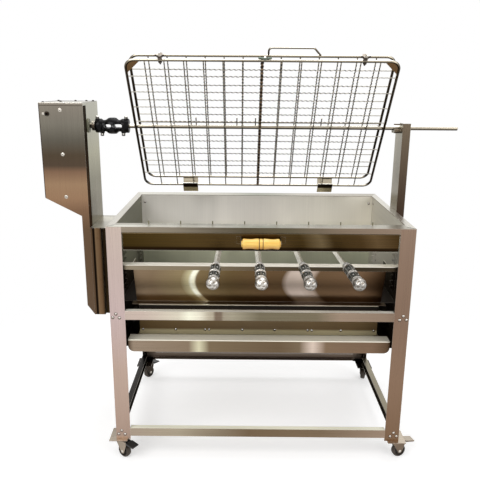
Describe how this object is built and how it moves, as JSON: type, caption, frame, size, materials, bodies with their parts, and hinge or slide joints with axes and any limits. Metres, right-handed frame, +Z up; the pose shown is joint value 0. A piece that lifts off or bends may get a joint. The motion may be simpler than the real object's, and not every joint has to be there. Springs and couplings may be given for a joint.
{
  "type": "charcoal rotisserie grill trolley",
  "caption": "Stainless charcoal grill on a castored angle-iron trolley: open firebox, motor-driven spit with a hinged flat wire basket, ash drawer, front flap and skewers.",
  "frame": {"origin": "on the floor, under the middle of the whole object seen from above", "axes": "+Z up, +X along the spit towards its free end, -Y the front where the flap, drawer and skewer handles are"},
  "size_m": [1.477, 0.905, 1.4154],
  "materials": {
    "frame_steel": "brushed stainless steel, fine grain along each bar",
    "sheet_steel": "plain stainless sheet, slightly heat-dulled",
    "housing_steel": "brushed stainless sheet, vertical grain",
    "fastener_steel": "bright plated",
    "spit_steel": "turned bright steel",
    "wire_steel": "drawn stainless wire, lightly polished",
    "black_cast": "black coated casting",
    "motor_paint": "grey paint",
    "black_plastic": "moulded black plastic",
    "grip_wood": "turned light wood, yellow varnish",
    "cast_handle": "cast, polished on its ribs",
    "castor_zinc": "zinc plated pressings",
    "wheel_tread": "grey moulded wheel"
  },
  "bodies": {
    "trolley": {"front_leg_left": "frame_steel", "front_leg_right": "frame_steel", "back_leg_left": "frame_steel", "back_leg_right": "frame_steel", "top_rail_front": "frame_steel", "top_rail_back": "frame_steel", "top_rails_side": "frame_steel", "middle_rails_long": "frame_steel", "base_rails_long": "frame_steel", "side_rails": "frame_steel", "firebox_back": "sheet_steel", "firebox_sides": "sheet_steel", "firebox_front": "sheet_steel", "charcoal_grate": "sheet_steel", "ash_hopper": "sheet_steel", "skewer_rest": "frame_steel", "drawer_runners": "sheet_steel", "flap_rod": "frame_steel", "housing_shell": "housing_steel", "housing_back": "housing_steel", "housing_cap": "housing_steel", "mounting_column": "housing_steel", "gearmotor": "motor_paint", "bearing_flange": "fastener_steel", "toggle_switch": "fastener_steel", "cable_gland": "black_plastic", "support_post": "frame_steel", "castor_plates": "castor_zinc"},
    "front_flap": {"front_flap": "frame_steel", "flap_bracket": "frame_steel", "flap_grip": "grip_wood"},
    "ash_drawer": {"ash_drawer": "frame_steel"},
    "toggle_lever": {"toggle_lever": "fastener_steel"},
    "spit": {"drive_shaft": "spit_steel", "coupling": "black_cast", "thumb_screws": "fastener_steel", "spit_rod": "spit_steel", "basket_frame": "wire_steel", "basket_mesh": "wire_steel"},
    "basket_lid": {"lid_frame": "wire_steel", "lid_handle": "wire_steel", "lid_mesh": "wire_steel"},
    "clamp_left": {"clamp_left": "fastener_steel"},
    "clamp_right": {"clamp_right": "fastener_steel"},
    "skewer_far_left": {"skewer_far_left": "cast_handle"},
    "skewer_left": {"skewer_left": "cast_handle"},
    "skewer_right": {"skewer_right": "cast_handle"},
    "skewer_far_right": {"skewer_far_right": "cast_handle"},
    "castor_front_left": {"castor_fork_front_left": "castor_zinc"},
    "wheel_front_left": {"castor_wheel_front_left": "wheel_tread"},
    "pedal_front_left": {"castor_pedal_front_left": "black_plastic"},
    "castor_front_right": {"castor_fork_front_right": "castor_zinc"},
    "wheel_front_right": {"castor_wheel_front_right": "wheel_tread"},
    "pedal_front_right": {"castor_pedal_front_right": "black_plastic"},
    "castor_back_left": {"castor_fork_back_left": "castor_zinc"},
    "wheel_back_left": {"castor_wheel_back_left": "wheel_tread"},
    "pedal_back_left": {"castor_pedal_back_left": "black_plastic"},
    "castor_back_right": {"castor_fork_back_right": "castor_zinc"},
    "wheel_back_right": {"castor_wheel_back_right": "wheel_tread"},
    "pedal_back_right": {"castor_pedal_back_right": "black_plastic"}
  },
  "joints": [
    {"name": "spit_spin", "type": "hinge", "parent": "trolley", "child": "spit", "pos_m": [0.0305, 0.09404, 1.152], "axis": [1, 0, 0], "continuous": true},
    {"name": "lid_hinge", "type": "hinge", "parent": "spit", "child": "basket_lid", "pos_m": [0.0305, 0.26236, 0.94561], "axis": [-1, 0, 0], "range_deg": [0, 120]},
    {"name": "clamp_left_turn", "type": "hinge", "parent": "spit", "child": "clamp_left", "pos_m": [-0.2975, -0.08495, 1.37288], "axis": [0, -0.5934, 0.8049], "range_deg": [0, 90]},
    {"name": "clamp_right_turn", "type": "hinge", "parent": "spit", "child": "clamp_right", "pos_m": [0.3585, -0.08495, 1.37288], "axis": [0, -0.5934, 0.8049], "range_deg": [0, 90]},
    {"name": "flap_hinge", "type": "hinge", "parent": "trolley", "child": "front_flap", "pos_m": [0.0305, -0.21096, 0.8323], "axis": [-1, 0, 0], "range_deg": [0, 85]},
    {"name": "drawer_slide", "type": "slide", "parent": "trolley", "child": "ash_drawer", "axis": [0, -1, 0], "range_m": [0, 0.44]},
    {"name": "switch_toggle", "type": "hinge", "parent": "trolley", "child": "toggle_lever", "pos_m": [-0.7102, 0.03004, 1.1958], "axis": [-1, 0, 0], "range_deg": [0, 30]},
    {"name": "skewer_far_left_slide", "type": "slide", "parent": "trolley", "child": "skewer_far_left", "axis": [0, -0.9981, 0.061], "range_m": [0, 0.52]},
    {"name": "skewer_left_slide", "type": "slide", "parent": "trolley", "child": "skewer_left", "axis": [0, -0.9981, 0.061], "range_m": [0, 0.52]},
    {"name": "skewer_right_slide", "type": "slide", "parent": "trolley", "child": "skewer_right", "axis": [0, -0.9981, 0.061], "range_m": [0, 0.52]},
    {"name": "skewer_far_right_slide", "type": "slide", "parent": "trolley", "child": "skewer_far_right", "axis": [0, -0.9981, 0.061], "range_m": [0, 0.52]},
    {"name": "castor_front_left_swivel", "type": "hinge", "parent": "trolley", "child": "castor_front_left", "pos_m": [-0.462, -0.18846, 0.0661], "axis": [0, 0, 1], "continuous": true},
    {"name": "wheel_front_left_roll", "type": "hinge", "parent": "castor_front_left", "child": "wheel_front_left", "pos_m": [-0.44562, -0.19993, 0.025], "axis": [0.5736, 0.8192, 0], "continuous": true},
    {"name": "pedal_front_left_press", "type": "hinge", "parent": "castor_front_left", "child": "pedal_front_left", "pos_m": [-0.43415, -0.20796, 0.0591], "axis": [0.5736, 0.8192, 0], "range_deg": [0, 12]},
    {"name": "castor_front_right_swivel", "type": "hinge", "parent": "trolley", "child": "castor_front_right", "pos_m": [0.523, -0.18846, 0.0661], "axis": [0, 0, 1], "continuous": true},
    {"name": "wheel_front_right_roll", "type": "hinge", "parent": "castor_front_right", "child": "wheel_front_right", "pos_m": [0.54213, -0.18261, 0.025], "axis": [-0.2924, 0.9563, 0], "continuous": true},
    {"name": "pedal_front_right_press", "type": "hinge", "parent": "castor_front_right", "child": "pedal_front_right", "pos_m": [0.55551, -0.17852, 0.0591], "axis": [-0.2924, 0.9563, 0], "range_deg": [0, 12]},
    {"name": "castor_back_left_swivel", "type": "hinge", "parent": "trolley", "child": "castor_back_left", "pos_m": [-0.462, 0.37654, 0.0661], "axis": [0, 0, 1], "continuous": true},
    {"name": "wheel_back_left_roll", "type": "hinge", "parent": "castor_back_left", "child": "wheel_back_left", "pos_m": [-0.45024, 0.39272, 0.025], "axis": [-0.809, 0.5878, 0], "continuous": true},
    {"name": "pedal_back_left_press", "type": "hinge", "parent": "castor_back_left", "child": "pedal_back_left", "pos_m": [-0.44201, 0.40405, 0.0591], "axis": [-0.809, 0.5878, 0], "range_deg": [0, 12]},
    {"name": "castor_back_right_swivel", "type": "hinge", "parent": "trolley", "child": "castor_back_right", "pos_m": [0.523, 0.37654, 0.0661], "axis": [0, 0, 1], "continuous": true},
    {"name": "wheel_back_right_roll", "type": "hinge", "parent": "castor_back_right", "child": "wheel_back_right", "pos_m": [0.52918, 0.39556, 0.025], "axis": [-0.9511, 0.309, 0], "continuous": true},
    {"name": "pedal_back_right_press", "type": "hinge", "parent": "castor_back_right", "child": "pedal_back_right", "pos_m": [0.53351, 0.40888, 0.0591], "axis": [-0.9511, 0.309, 0], "range_deg": [0, 12]}
  ]
}
